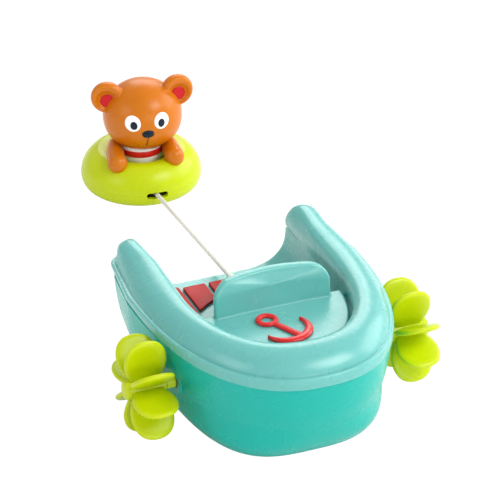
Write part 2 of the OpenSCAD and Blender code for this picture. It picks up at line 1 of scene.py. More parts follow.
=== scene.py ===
"""Toy paddle boat that tows a bear in a swim ring on a pull cord.

Shapes are written in millimetres and scaled to metres as each mesh is made; lights and the
camera are in metres. The bow points to -Y and the stern to +Y, +X is the port (left) side and
the floor is z = 0. The ring and the bear lie behind the stern, and the bear faces the boat.
"""
import sys, math, json
import numpy as np
import bpy, bmesh
from mathutils import Matrix, Vector
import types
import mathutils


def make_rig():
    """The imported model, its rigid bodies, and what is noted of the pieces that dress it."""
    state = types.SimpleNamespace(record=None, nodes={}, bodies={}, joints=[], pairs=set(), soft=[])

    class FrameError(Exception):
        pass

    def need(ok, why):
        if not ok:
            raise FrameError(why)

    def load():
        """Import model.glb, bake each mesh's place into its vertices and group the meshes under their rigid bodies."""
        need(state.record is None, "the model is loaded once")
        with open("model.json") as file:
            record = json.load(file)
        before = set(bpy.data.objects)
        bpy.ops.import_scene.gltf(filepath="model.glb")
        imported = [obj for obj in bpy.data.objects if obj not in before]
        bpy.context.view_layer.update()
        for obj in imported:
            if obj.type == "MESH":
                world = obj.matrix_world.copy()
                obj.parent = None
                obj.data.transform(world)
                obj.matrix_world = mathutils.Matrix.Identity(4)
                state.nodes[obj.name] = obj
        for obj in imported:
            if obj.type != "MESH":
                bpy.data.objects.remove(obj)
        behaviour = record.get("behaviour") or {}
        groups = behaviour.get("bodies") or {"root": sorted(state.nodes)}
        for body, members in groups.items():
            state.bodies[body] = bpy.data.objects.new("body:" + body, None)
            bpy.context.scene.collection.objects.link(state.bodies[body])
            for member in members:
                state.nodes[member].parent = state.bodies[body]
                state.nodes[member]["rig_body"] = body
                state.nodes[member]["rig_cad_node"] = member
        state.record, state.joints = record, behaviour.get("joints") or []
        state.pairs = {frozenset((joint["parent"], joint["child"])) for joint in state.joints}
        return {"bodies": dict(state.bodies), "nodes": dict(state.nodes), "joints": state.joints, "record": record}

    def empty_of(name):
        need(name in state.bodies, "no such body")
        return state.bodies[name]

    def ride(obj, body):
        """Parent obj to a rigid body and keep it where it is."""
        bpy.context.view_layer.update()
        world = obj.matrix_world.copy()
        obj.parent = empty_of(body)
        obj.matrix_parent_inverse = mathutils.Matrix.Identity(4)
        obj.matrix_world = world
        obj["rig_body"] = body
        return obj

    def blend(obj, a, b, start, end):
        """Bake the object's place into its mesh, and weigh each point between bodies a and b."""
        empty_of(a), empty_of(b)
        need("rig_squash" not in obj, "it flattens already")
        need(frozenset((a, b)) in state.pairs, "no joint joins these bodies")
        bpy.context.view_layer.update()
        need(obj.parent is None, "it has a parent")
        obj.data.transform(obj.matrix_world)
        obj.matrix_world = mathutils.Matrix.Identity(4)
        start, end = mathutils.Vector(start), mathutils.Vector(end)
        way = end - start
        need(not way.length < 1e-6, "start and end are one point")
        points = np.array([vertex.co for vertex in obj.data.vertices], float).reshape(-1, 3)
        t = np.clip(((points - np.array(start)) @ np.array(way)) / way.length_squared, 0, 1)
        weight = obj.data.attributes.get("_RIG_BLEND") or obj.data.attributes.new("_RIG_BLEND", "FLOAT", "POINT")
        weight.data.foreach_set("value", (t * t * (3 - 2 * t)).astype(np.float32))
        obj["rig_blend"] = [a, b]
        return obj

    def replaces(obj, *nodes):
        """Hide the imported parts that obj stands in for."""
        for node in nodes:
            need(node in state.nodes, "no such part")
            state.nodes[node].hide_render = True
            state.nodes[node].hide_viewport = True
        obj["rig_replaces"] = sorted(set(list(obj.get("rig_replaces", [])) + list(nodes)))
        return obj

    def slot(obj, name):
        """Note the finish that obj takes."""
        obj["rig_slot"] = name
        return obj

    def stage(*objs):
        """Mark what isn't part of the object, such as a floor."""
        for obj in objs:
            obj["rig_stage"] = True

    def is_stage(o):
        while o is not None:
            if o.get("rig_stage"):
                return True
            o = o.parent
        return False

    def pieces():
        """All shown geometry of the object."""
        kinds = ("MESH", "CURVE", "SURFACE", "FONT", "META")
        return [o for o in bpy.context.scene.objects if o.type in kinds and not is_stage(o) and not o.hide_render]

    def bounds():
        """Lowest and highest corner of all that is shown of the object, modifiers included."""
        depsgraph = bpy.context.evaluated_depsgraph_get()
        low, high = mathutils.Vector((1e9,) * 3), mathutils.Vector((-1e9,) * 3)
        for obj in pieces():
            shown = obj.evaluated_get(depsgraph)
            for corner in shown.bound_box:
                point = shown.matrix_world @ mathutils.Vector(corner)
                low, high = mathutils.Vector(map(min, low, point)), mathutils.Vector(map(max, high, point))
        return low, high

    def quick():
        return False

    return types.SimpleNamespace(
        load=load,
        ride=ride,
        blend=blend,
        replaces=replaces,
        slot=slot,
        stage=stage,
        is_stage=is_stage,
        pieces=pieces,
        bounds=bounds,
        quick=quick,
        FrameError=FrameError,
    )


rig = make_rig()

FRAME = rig.load()
CAD_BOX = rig.bounds()
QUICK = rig.quick()
MM = 0.001
SIDES = (-1, 1)  # starboard, port
scene = bpy.context.scene


def pick(quick, full):
    """Chooses the coarse or the full value."""
    return quick if QUICK else full


# ---------------------------------------------------------------- numbers and curves
def clamp(v):
    return min(max(v, 0.0), 1.0)


def pos_pow(v, exponent):
    return max(v, 0.0) ** exponent


def signed_pow(v, exponent):
    return math.copysign(abs(v) ** exponent, v)


def circle(count):
    """Angles of count points around a full turn."""
    return np.linspace(0, 2 * math.pi, count, endpoint=False)


def unit(v):
    return v / np.linalg.norm(v)


def curve(points, steps, corners=()):
    """Smooth curve through points, steps samples to each span; corners lists sharp indices."""
    P = np.array(points, float)
    last = len(P) - 1
    tangents = np.zeros_like(P)
    for i in range(last + 1):
        if i in corners:
            continue
        if i == 0:
            tangents[i] = P[1] - P[0]
        elif i == last:
            tangents[i] = P[-1] - P[-2]
        else:
            before, after = P[i] - P[i - 1], P[i + 1] - P[i]
            len_b, len_a = np.linalg.norm(before) + 1e-9, np.linalg.norm(after) + 1e-9
            tangents[i] = (before / len_b * len_a + after / len_a * len_b) / (len_b + len_a)

    def span_tangent(i, chord):
        if i in corners:
            return chord
        return tangents[i] / (np.linalg.norm(tangents[i]) + 1e-9) * np.linalg.norm(chord)

    out = []
    for i in range(last):
        chord = P[i + 1] - P[i]
        start, end = span_tangent(i, chord), span_tangent(i + 1, chord)
        for k in range(steps):
            t = k / steps
            out.append((2 * t**3 - 3 * t**2 + 1) * P[i] + (t**3 - 2 * t**2 + t) * start
                       + (-2 * t**3 + 3 * t**2) * P[i + 1] + (t**3 - t**2) * end)
    out.append(P[-1])
    return np.array(out)


def shift(x, y, z):
    return Matrix.Translation(Vector((x, y, z)) * MM)


def turn(degrees, axis):
    return Matrix.Rotation(math.radians(degrees), 4, axis)


# ---------------------------------------------------------------- mesh helpers
def make(verts, faces, name="part", smooth=True):
    """Object from points in mm, with coincident points merged."""
    me = bpy.data.meshes.new(name)
    me.from_pydata([tuple(float(c) * MM for c in v) for v in verts], [],
                   [tuple(int(i) for i in f) for f in faces])
    me.validate()
    bm = bmesh.new()
    bm.from_mesh(me)
    bmesh.ops.remove_doubles(bm, verts=bm.verts, dist=2e-6)
    bmesh.ops.recalc_face_normals(bm, faces=bm.faces)
    for f in bm.faces:
        f.smooth = smooth
    bm.to_mesh(me)
    bm.free()
    return link(name, me)


def link(name, data):
    ob = bpy.data.objects.new(name, data)
    scene.collection.objects.link(ob)
    return ob


def discard(ob):
    mesh = ob.data
    bpy.data.objects.remove(ob)
    bpy.data.meshes.remove(mesh)


def band_quads(row_count, n):
    """Quads between successive closed rows of n points."""
    return [(i * n + j, i * n + (j + 1) % n, (i + 1) * n + (j + 1) % n, (i + 1) * n + j)
            for i in range(row_count - 1) for j in range(n)]


def loft(rows, cap=None):
    """Skin over closed rows of points; cap 'fan' or 'poly' closes both ends."""
    n, row_count = len(rows[0]), len(rows)
    verts = [p for row in rows for p in row]
    faces = band_quads(row_count, n)
    for base in (0, (row_count - 1) * n):
        if cap == "fan":
            centre = len(verts)
            verts.append(np.mean(np.array(verts[base:base + n], float), axis=0))
            faces += [(base + j, base + (j + 1) % n, centre) for j in range(n)]
        elif cap == "poly":
            faces.append(tuple(range(base, base + n)))
    return make(verts, faces)


def shell_loft(sections):
    """Skin over sections that run out along one face of a wall and back along the other."""
    n = len(sections[0])
    faces = band_quads(len(sections), n)
    for base in (0, (len(sections) - 1) * n):
        for i in range(n // 2 - 1):
            faces.append((base + i, base + i + 1, base + n - 2 - i, base + n - 1 - i))
    return make([p for section in sections for p in section], faces)


def prism(poly, low, high, axis="z"):
    """Extruded polygon; for axis y the polygon is (x, z) and the extrusion runs along y."""
    n = len(poly)
    if axis == "z":
        verts = [(a, b, level) for level in (low, high) for a, b in poly]
    else:
        verts = [(a, level, b) for level in (low, high) for a, b in poly]
    faces = [tuple(range(n)), tuple(range(2 * n - 1, n - 1, -1))]
    return make(verts, faces + [(j, (j + 1) % n, n + (j + 1) % n, n + j) for j in range(n)])


def box(x0, x1, y0, y1, z0, z1):
    return prism([(x0, y0), (x1, y0), (x1, y1), (x0, y1)], z0, z1)


def tube(start, end, radius, seg=48):
    """Solid cylinder between two points."""
    start, end = np.array(start, float), np.array(end, float)
    along = unit(end - start)
    helper = np.array([0, 0, 1.0]) if abs(along[2]) < 0.9 else np.array([1.0, 0, 0])
    u = unit(np.cross(helper, along))
    v = np.cross(along, u)
    return loft([[c + radius * (math.cos(t) * u + math.sin(t) * v) for t in circle(seg)]
                 for c in (start, end)], "poly")


def rod(x, y, z0, z1, radius, seg):
    """Solid upright cylinder."""
    return tube((x, y, z0), (x, y, z1), radius, seg)


def lathe(profile, seg):
    """Profile of (radius, z) turned about the z axis."""
    return loft([[(r * math.cos(t), r * math.sin(t), z) for t in circle(seg)]
                 for r, z in profile])


def lathe_x(profile, centre_z=0.0):
    """Profile of (x, radius) turned about a line along x."""
    return loft([[(x, r * math.cos(t), centre_z + r * math.sin(t)) for t in circle(64)]
                 for x, r in profile])


def ball(x, y, z, radius, seg):
    rows = []
    for i in range(seg // 2 + 1):
        a = -math.pi / 2 + math.pi * i / (seg // 2)
        r = max(math.cos(a), 1e-4) * radius
        rows.append([(x + r * math.cos(t), y + r * math.sin(t), z + radius * math.sin(a))
                     for t in circle(seg)])
    return loft(rows, "fan")


def apply_mods(ob):
    deps = bpy.context.evaluated_depsgraph_get()
    deps.update()
    me = bpy.data.meshes.new_from_object(ob.evaluated_get(deps), depsgraph=deps)
    ob.modifiers.clear()
    old = ob.data
    ob.data = me
    bpy.data.meshes.remove(old)
    return ob


def cut(ob, cutters):
    """Subtracts the cutters and discards them."""
    for cutter in cutters:
        mod = ob.modifiers.new("cut", "BOOLEAN")
        mod.operation = "DIFFERENCE"
        mod.object = cutter
        mod.solver = "EXACT"
    apply_mods(ob)
    for cutter in cutters:
        discard(cutter)
    return ob


def bevel(ob, width, segments, angle=30):
    mod = ob.modifiers.new("bevel", "BEVEL")
    mod.width = width * MM
    mod.segments = segments
    mod.limit_method = "ANGLE"
    mod.angle_limit = math.radians(angle)
    return apply_mods(ob)


def join(obs):
    bm = bmesh.new()
    for ob in obs:
        bm.from_mesh(ob.data)
    me = bpy.data.meshes.new("joined")
    bm.to_mesh(me)
    bm.free()
    for ob in obs:
        discard(ob)
    return link("joined", me)


def sculpt(ob, voxel, smooth_steps):
    """Fuses overlapping parts into one skin and softens it."""
    remesh = ob.modifiers.new("remesh", "REMESH")
    remesh.mode = "VOXEL"
    remesh.voxel_size = voxel * MM
    remesh.use_smooth_shade = True
    soften = ob.modifiers.new("soften", "SMOOTH")
    soften.factor = 0.5
    soften.iterations = smooth_steps
    return apply_mods(ob)


def mirror_x(ob):
    ob.data.transform(Matrix.Scale(-1, 4, Vector((1, 0, 0))))
    ob.data.flip_normals()


def mark_sharp(ob, degrees):
    """Marks edges sharper than the angle and shades the rest smooth."""
    bm = bmesh.new()
    bm.from_mesh(ob.data)
    limit = math.radians(degrees)
    for f in bm.faces:
        f.smooth = True
    for e in bm.edges:
        e.smooth = not (len(e.link_faces) == 2 and e.calc_face_angle(0) > limit)
    bm.to_mesh(ob.data)
    bm.free()


def finish(ob, name, material, body, slot, replaced=None, sharp=None):
    """Names, shades and paints a piece, and ties it to the CAD frame."""
    ob.name = name
    ob.data.name = name
    if sharp:
        mark_sharp(ob, sharp)
    ob.data.materials.clear()
    ob.data.materials.append(material)
    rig.ride(ob, body)
    if replaced:
        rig.replaces(ob, replaced)
    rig.slot(ob, slot)


# ---------------------------------------------------------------- materials
MIX_A, MIX_B, MIX_OUT = 6, 7, 2  # colour sockets of the Mix node


def srgb(*channels):
    """Linear colour from 0-255 sRGB channels."""
    def linear(c):
        return (c / 255 / 12.92) if c / 255 <= 0.04045 else ((c / 255 + 0.055) / 1.055) ** 2.4
    return tuple(linear(c) for c in channels)


def add_node(tree, kind, **values):
    """New shader node; underscores in the socket names stand for spaces."""
    node = tree.nodes.new("ShaderNode" + kind)
    for socket, value in values.items():
        node.inputs[socket.replace("_", " ")].default_value = value
    return node


def add_noise(tree, coords, **values):
    noise = add_node(tree, "TexNoise", **values)
    tree.links.new(coords.outputs["Object"], noise.inputs["Vector"])
    return noise


def add_mix(tree, colour_b, colour_a=None):
    mix = add_node(tree, "Mix")
    mix.data_type = "RGBA"
    if colour_a:
        mix.inputs[MIX_A].default_value = (*colour_a, 1)
    mix.inputs[MIX_B].default_value = (*colour_b, 1)
    return mix


def add_bump(tree, shader, height, strength, distance):
    bump = add_node(tree, "Bump", Strength=strength, Distance=distance)
    tree.links.new(height, bump.inputs["Height"])
    tree.links.new(bump.outputs[0], shader.inputs["Normal"])


def coloured(name, rgb, rough, var, spec=0.5, scale=60.0, sss=0.0, wear=0.12, metallic=0.0):
    """Mottled colour, edges painted paler as a highlight, and uneven gloss; returns material, shader and coordinates.

    var is the spread of the mottling, scale its fineness, and the edge setting the painted highlight: how much paler
    the edges are made.
    """
    mat = bpy.data.materials.new(name)
    mat.use_nodes = True
    tree = mat.node_tree
    wire = tree.links.new
    tree.nodes.clear()
    out = add_node(tree, "OutputMaterial")
    shader = add_node(tree, "BsdfPrincipled", Specular_IOR_Level=spec, Metallic=metallic)
    wire(shader.outputs[0], out.inputs[0])
    coords = add_node(tree, "TexCoord")

    mottle = add_noise(tree, coords, Scale=scale * 0.35, Detail=3.0)
    base = add_mix(tree, tuple(min(1.0, c * (1 + var) + 0.002) for c in rgb),
                   tuple(c * (1 - var) for c in rgb))
    wire(mottle.outputs[0], base.inputs[0])

    # painted highlight: convex edges painted a little paler, as where they catch the light
    geometry = add_node(tree, "NewGeometry")
    edges = add_node(tree, "MapRange", From_Min=0.56, From_Max=0.72, To_Min=0.0, To_Max=wear)
    wire(geometry.outputs["Pointiness"], edges.inputs["Value"])
    highlit_edges = add_mix(tree, tuple(min(1.0, c * 1.25 + 0.015) for c in rgb))
    wire(edges.outputs[0], highlit_edges.inputs[0])
    wire(base.outputs[MIX_OUT], highlit_edges.inputs[MIX_A])
    wire(highlit_edges.outputs[MIX_OUT], shader.inputs["Base Color"])

    # smears of uneven gloss
    smears = add_noise(tree, coords, Scale=scale * 1.4, Detail=5.0)
    gloss = add_node(tree, "MapRange", From_Min=0.3, From_Max=0.7,
                     To_Min=max(rough - 0.05, 0.02), To_Max=rough + 0.07)
    wire(smears.outputs[0], gloss.inputs["Value"])
    wire(gloss.outputs[0], shader.inputs["Roughness"])
    if sss:
        shader.inputs["Subsurface Weight"].default_value = sss
        shader.inputs["Subsurface Radius"].default_value = (1.0, 0.8, 0.6)
        shader.inputs["Subsurface Scale"].default_value = 0.004
    return mat, shader, coords


def grained(name, rgb, scale=60.0, **look):
    """Coloured surface with a very fine grain."""
    mat, shader, coords = coloured(name, rgb, scale=scale, **look)
    grain = add_noise(mat.node_tree, coords, Scale=scale * 9, Detail=2.0)
    add_bump(mat.node_tree, shader, grain.outputs[0], strength=0.096, distance=0.00012)
    return mat


def corded(name, rgb):
    """Matt surface with the diagonal ridges of laid cord."""
    mat, shader, coords = coloured(name, rgb, rough=0.75, spec=0.2, var=0.05, wear=0.0)
    tree = mat.node_tree
    mapping = add_node(tree, "Mapping", Scale=(400, 400, 400))
    ridges = add_node(tree, "TexWave", Scale=1.0)
    ridges.wave_type = "BANDS"
    ridges.bands_direction = "DIAGONAL"
    tree.links.new(coords.outputs["Object"], mapping.inputs["Vector"])
    tree.links.new(mapping.outputs[0], ridges.inputs["Vector"])
    add_bump(tree, shader, ridges.outputs[1], strength=0.6, distance=0.0003)
    return mat


TEAL = grained("teal_gloss", srgb(0, 172, 158), rough=0.26, var=0.03, spec=0.32)
TURQUOISE = grained("turquoise_gloss", srgb(104, 182, 176), rough=0.25, var=0.02, sss=0.5)
LIME = grained("lime_gloss", srgb(192, 208, 0), rough=0.28, var=0.04, spec=0.3)
RED = grained("red_gloss", srgb(216, 20, 24), rough=0.26, var=0.06)
SLAT_RED = grained("red_slat", srgb(186, 22, 22), rough=0.42, var=0.05, spec=0.18)
EAR_RED = grained("ear_red", srgb(200, 16, 30), rough=0.34, var=0.05, spec=0.25)
BROWN = grained("bear_brown", srgb(203, 112, 6), rough=0.3, spec=0.3, var=0.10, scale=90)
WHITE = grained("white_gloss", srgb(250, 250, 250), rough=0.3, var=0.01, wear=0.0)
NAVY = grained("navy_paint", srgb(8, 26, 42), rough=0.2, var=0.05, wear=0.05, spec=0.25)
MOUTH_BROWN = grained("mouth_line", srgb(84, 46, 24), rough=0.3, var=0.05, wear=0.0)
NYLON = grained("natural_nylon", srgb(226, 224, 214), rough=0.42, var=0.03)
STEEL = grained("ground_steel", (0.56, 0.56, 0.57), rough=0.28, var=0.08, metallic=1.0,
                scale=200, wear=0.3)
SPRING_STEEL = grained("spring_steel", (0.36, 0.37, 0.40), rough=0.3, var=0.1, metallic=1.0,
                       scale=260, wear=0.2)
RUBBER = grained("seal_rubber", (0.03, 0.03, 0.03), rough=0.6, var=0.15, wear=0.05)
CORD_WHITE = corded("cord_white", srgb(232, 230, 220))

# CAD pieces that are shown as they are: (material, names)
CAD_LOOKS = [
    (STEEL, "axle_shaft motor_spacers motor_screws drum_shaft wheel_clips hull_screws ring_screws"),
    (TEAL, "axle_bushes"),
    (RUBBER, "axle_seals"),
    (NYLON, "axle_pinion motor_plate_port motor_plate_starboard cord_drum drum_gear spring_cup "
            "cord_fairlead"),
    (SPRING_STEEL, "mainspring"),
    (CORD_WHITE, "cord_coil cord_inner_run cord_knot"),
]
for look, names in CAD_LOOKS:
    for node_name in names.split():
        slots = FRAME["nodes"][node_name].data.materials
        slots.clear()
        slots.append(look)

# ---------------------------------------------------------------- boat plan curves
HALF_BEAM = 59.7
BOW_Y, STERN_Y = -60.8, 83.0
BOW_END_Y = 44.3  # the bow curve meets the straight sides here
BOW_POWER = 2.34
AXLE_Z = 29.0
BOW_STEPS = pick(36, 84)
AFT_STEPS = pick(16, 40)
SCREWS = [(30, -20), (36, 50), (-30, -20), (-36, 50)]  # (x, y), deck to hull


def bow_point(angle, inset, power=BOW_POWER, extra=0.0):
    """Bow outline: angle 0 at the stem, 90 degrees where the sides begin."""
    return ((HALF_BEAM - inset) * pos_pow(math.sin(angle), 2 / power),
            BOW_END_Y - (BOW_END_Y - BOW_Y - inset - extra) * pos_pow(math.cos(angle), 2 / power))


def side_x(y, inset):
    """Half breadth of the sides, which close in towards the stern."""
    return HALF_BEAM - inset - 11.7 * (y - BOW_END_Y) / 95


# ---------------------------------------------------------------- hull
# (inset from the beam, z) up the outside of the hull
HULL_SIDE = [(19, 0), (16.8, 0.9), (14.8, 2.2), (13, 4), (10.8, 7), (9, 10),
             (7, 15), (5.5, 20), (3, 29), (1.5, 38), (0.6, 47.4)]
HULL_CURVE = curve(HULL_SIDE, pick(3, 6))
HULL_WALL = 2.2
STERN_SHARE = 0.45  # inset of the stern as a share of the side inset
HEAD_HOLE = dict(radius=2.9, seg=32)
SHANK_HOLE = dict(radius=1.3, seg=24)
BUSH_R = 4.5

# (x, z) of half the cockpit trough, from the rim down to the floor
TROUGH = [(39.6, 62), (39.3, 50), (38.4, 42.5), (36.9, 38.8),
          (34.6, 36), (30.4, 32.8), (25, 31), (19, 30)]
TROUGH_CURVE = curve(TROUGH, pick(4, 8))


def hull_ring(z, inset, stern_inset, corner):
    """Closed outline of the hull at height z, with rounded stern corners."""
    stern = STERN_Y - stern_inset
    corner_x = side_x(stern - corner, inset)
    # the bow is squarer near the keel
    low = clamp((26 - z) / 26)
    power = BOW_POWER + 0.9 * low * low * (3 - 2 * low)
    half = [bow_point(math.pi / 2 * i / BOW_STEPS, inset, power, 0.25 * inset)
            for i in range(BOW_STEPS + 1)]
    for k in range(1, 9):
        y = BOW_END_Y + (stern - corner - BOW_END_Y) * k / 8
        half.append((side_x(y, inset), y))
    for k in range(1, 13):
        a = math.pi / 2 * k / 12
        half.append((corner_x - corner * (1 - math.cos(a)),
                     stern - corner + corner * math.sin(a)))
    for k in range(1, 6):
        half.append(((corner_x - corner) * (1 - k / 6), stern))
    full = half + [(0.0, stern)] + [(-x, y) for x, y in half[:0:-1]]
    return np.array([(x, y, z) for x, y in full])


def trough_prism(gap, y0, y1):
    """Solid of the cockpit trough, grown by gap."""
    half = [(x + gap, z - (gap if z < 33 else gap * 0.5)) for x, z in TROUGH_CURVE]
    return prism(half + [(-x, z) for x, z in half[::-1]], y0, y1, "y")


def hull_skin():
    base_inset = HULL_SIDE[0][0]
    base = hull_ring(0, base_inset, STERN_SHARE * base_inset, 14)
    centre = base.mean(axis=0)
    rows = [centre + (base - centre) * k for k in (0.3, 0.7, 0.985)]
    for inset, z in HULL_CURVE:
        rows.append(hull_ring(z, inset, STERN_SHARE * inset, 14))
    # over the top edge and down the inside
    rows.append(hull_ring(47.9, 0.9, STERN_SHARE * 0.9, 13.8))
    rows.append(hull_ring(47.9, HULL_WALL, STERN_SHARE * 0.6 + HULL_WALL - 0.4, 13))
    for inset, z in HULL_CURVE[::-1]:
        if z > 3.2:
            rows.append(hull_ring(z - 0.1, inset + HULL_WALL,
                                  STERN_SHARE * inset + HULL_WALL, 12))
    rows.append(hull_ring(2.6, 16.8, STERN_SHARE * 14 + HULL_WALL, 12))
    return loft(rows, "fan")


def hull():
    skin = hull_skin()
    cutters = [trough_prism(2.3, 60, 100)]
    for s in SIDES:
        cutters.append(tube((s * 40, 0, AXLE_Z), (s * 62, 0, AXLE_Z), BUSH_R))
    for x, y in SCREWS:
        cutters += [rod(x, y, -1, 4.2, **HEAD_HOLE), rod(x, y, -1, 40, **SHANK_HOLE)]
    parts = [cut(skin, cutters)]
    # collars round the axle
    for s in SIDES:
        x0, x1, outer = s * 43.6, s * 52.4, 7.0
        parts.append(lathe_x([(x0, BUSH_R), (x0, outer), (x1, outer), (x1, BUSH_R),
                              (x0, BUSH_R)], AXLE_Z))
    for x, y in SCREWS:
        post = rod(x, y, 2.0, 26, radius=4, seg=32)
        parts.append(cut(post, [rod(x, y, 1, 30, **SHANK_HOLE), rod(x, y, 1, 4.2, **HEAD_HOLE)]))
    # four square blocks with screw holes
    for s in SIDES:
        for y in (-6, 24):
            x = s * 18.8
            block = box(x - 3.5, x + 3.5, y - 3, y + 3, 2.4, 17)
            parts.append(cut(block, [rod(x, y, 5, 20, radius=0.92, seg=20)]))
    finish(join(parts), "hull_moulding", TEAL, "hull", "teal", "hull_shell", sharp=34)


# ---------------------------------------------------------------- deck
# (distance in from the outer outline where the full width is 20, z) of the rim
RIM_TOP = [(0.5, 47.5), (0.05, 47.9), (0, 48.6), (0, 52.1), (0.15, 52.7), (0.6, 53.15),
           (1.95, 53.3), (2.45, 54.4), (4.7, 57.5), (7.8, 60.0), (11.4, 61.5), (14.8, 62),
           (18.0, 61.3), (20.2, 59.5), (21.0, 57.0), (20.8, 52), (20.6, 47)]
RIM_UNDER = [(2.3, 47.5), (2.3, 47.9), (2.3, 48.6), (2.4, 51.2), (2.7, 51.6), (3.0, 52.0),
             (3.4, 52.4), (4.1, 53.6), (6.2, 55.7), (8.9, 57.8), (12.0, 59.1), (14.6, 59.7),
             (16.8, 59.2), (18.2, 58.0), (18.8, 56.4), (18.6, 52), (18.4, 47)]
RIM_WIDTH = 20
RIM_STEPS = pick(3, 6)
RIM_SECTION = [*curve(RIM_TOP, RIM_STEPS, corners=(6,)), *curve(RIM_UNDER, RIM_STEPS)[::-1]]
RIM_LAST = BOW_STEPS + AFT_STEPS
HORN_LEN = 9  # the rim ends aft in two rounded horns

# the opening inside the rim
WELL_HALF, WELL_BOW_Y, WELL_MID_Y = 40, -38, 25

# (y, z) along the crest of the motor hump
HUMP_CREST = [(6, 57.5), (8, 57.5), (14, 57.2), (22, 56.8), (30, 55.2), (38, 52.4),
              (46, 49), (50, 47.6), (54, 45.8), (57, 43.6), (59.5, 41.4), (61.6, 38.5)]
HUMP_CURVE = curve(HUMP_CREST, pick(2, 4))

# (x, z) of half the bulkhead, from the floor up
BULKHEAD = [(19, 28), (25, 29.4), (31, 32), (36, 36), (39, 40), (40.4, 50), (36, 53.4)]

# (x, z) of the panels that close the rim at the stern
STERN_PANEL = [(40.2, 51.6), (45.7, 51.6), (45.4, 53.2), (44.6, 54.6),
               (43.4, 55.8), (42, 56.5), (41, 56.6), (40.2, 56.2)]


def well_point(i):
    if i <= BOW_STEPS:
        a = math.pi / 2 * i / BOW_STEPS
        return (WELL_HALF * pos_pow(math.sin(a), 2 / 2.3),
                WELL_MID_Y - (WELL_MID_Y - WELL_BOW_Y) * pos_pow(math.cos(a), 2 / 2.3))
    t = (i - BOW_STEPS) / AFT_STEPS
    return (WELL_HALF - 0.5 * t,
            WELL_MID_Y + (STERN_Y - WELL_MID_Y) * (1 - (1 - t) ** 1.6))


def outer_point(i):
    if i <= BOW_STEPS:
        return bow_point(math.pi / 2 * i / BOW_STEPS, 0)
    t = (i - BOW_STEPS) / AFT_STEPS
    y = BOW_END_Y + (STERN_Y - BOW_END_Y) * (1 - (1 - t) ** 1.8)
    c = clamp((y - STERN_Y + 8) / 8)
    return (side_x(y, 0) - 8 * (1 - math.sqrt(1 - c * c)), y)


def horn_scale(y):
    """Height of the rim, falling to half at the stern."""
    t = clamp((y - (STERN_Y - HORN_LEN)) / HORN_LEN)
    return 1 - 0.5 * (1 - math.sqrt(max(1 - t * t, 0)))


def rim_point(i, across, up):
    (ox, oy), (wx, wy) = outer_point(i), well_point(i)
    # towards the stern the crest moves out to the middle of the horn
    u = (across - 3.0 * clamp((oy - 66) / 14) * clamp((up - 56) / 4)) / RIM_WIDTH
    x, y = ox + (wx - ox) * u, oy + (wy - oy) * u
    # the rim also rises aft
    z = (up + 4 * clamp((y + 20) / 103) * clamp((53.6 - up) / 6)
         + 2 * clamp((y - 15) / 55) * clamp((up - 53.6) / 6))
    if z > 51 and not (across > 18.3 and up < 53):
        z = 51 + (z - 51) * horn_scale(y)
    return (x, y, z)


def rim():
    port = [[rim_point(i, *q) for q in RIM_SECTION] for i in range(RIM_LAST + 1)]
    starboard = [[(-x, y, z) for x, y, z in section] for section in port[1:]]
    return shell_loft(port[::-1] + starboard)


def well_outline(inset, y0, y1):
    """Outline of the opening inside the rim between y0 and y1."""
    half = []
    for i in range(RIM_LAST + 1):
        x, y = well_point(i)
        if y0 <= y <= y1:
            half.append((x * (WELL_HALF - inset) / WELL_HALF,
                         y + inset * clamp(y / WELL_BOW_Y)))
    # carry the outline on to y1 exactly
    half.append((half[-1][0] + 0.02, y1))
    return half + [(-x, y) for x, y in half[:0:-1]]


def hump(inset, foot_z, y0, y1):
    rows = []
    for y, crest in HUMP_CURVE:
        if y < y0 or y > y1:
            continue
        half = max(26 * max(1 - (max(y, 8) - 8) / 54.5, 1e-4) ** 0.6, 3.2) - inset
        top = crest - inset
        rows.append([(half * signed_pow(math.cos(a), 0.5), y,
                      foot_z + (top - foot_z) * max(math.sin(a), 0) ** 0.42)
                     for a in np.linspace(math.pi, 0, pick(24, 64))])
    return loft(rows, "fan")


def cowl():
    """Upright screen that leans aft, its sides swept forward and its edges rounded."""
    thick, top = 4.4, 70.6
    # (depth through the screen, inset of its outline)
    front = [(0.0, 1.1), (0.12, 0.55), (0.5, 0.16), (1.2, 0.0)]
    layers = []
    for depth, inset in front + [(thick - d, inset) for d, inset in front[::-1]]:
        half, radius = 29.4 - inset, 8.6 - inset
        shoulder = top - radius
        side = [(half, z) for z in np.linspace(47, shoulder, 10)[:-1]]
        side += [(half - radius + radius * math.cos(a), shoulder + radius * math.sin(a))
                 for a in np.linspace(0, math.pi / 2, 16)]
        crest = [(x, top) for x in np.linspace(half - radius, -(half - radius), 30)[1:-1]]
        layer = []
        for x, z in side + crest + [(-x, z) for x, z in side[::-1]]:
            # the crest is domed above the shoulders
            rise = clamp((z - shoulder) / radius)
            z = z + 1.5 * (1 - (x / 30) ** 2) * rise - inset * 0.9 * rise
            layer.append((x, 8.8 - (x * x) / 176.0 + depth + (z - 54) * 0.075, z))
        layers.append(layer)
    return loft(layers, "fan")


def floor_opening():
    return box(-17.6, 17.6, 9.4, 32, 20, 32)


def cockpit_tub():
    sections = []
    for y in np.linspace(STERN_Y, 6.4, pick(10, 30)):
        gap = 0.4 * clamp((STERN_Y - y) / 58)
        face = [(x + gap, z) for x, z in TROUGH_CURVE if z < 51]
        back = [(x + (2.0 if z > 31.5 else 0.6), z - (0 if z > 40 else 1.2 if z > 31.5 else 2.0))
                for x, z in face]
        sections.append([(x, y, z) for x, z in face] + [(-x, y, z) for x, z in face[::-1]]
                        + [(-x, y, z) for x, z in back] + [(x, y, z) for x, z in back[::-1]])
    return cut(shell_loft(sections), [floor_opening()])


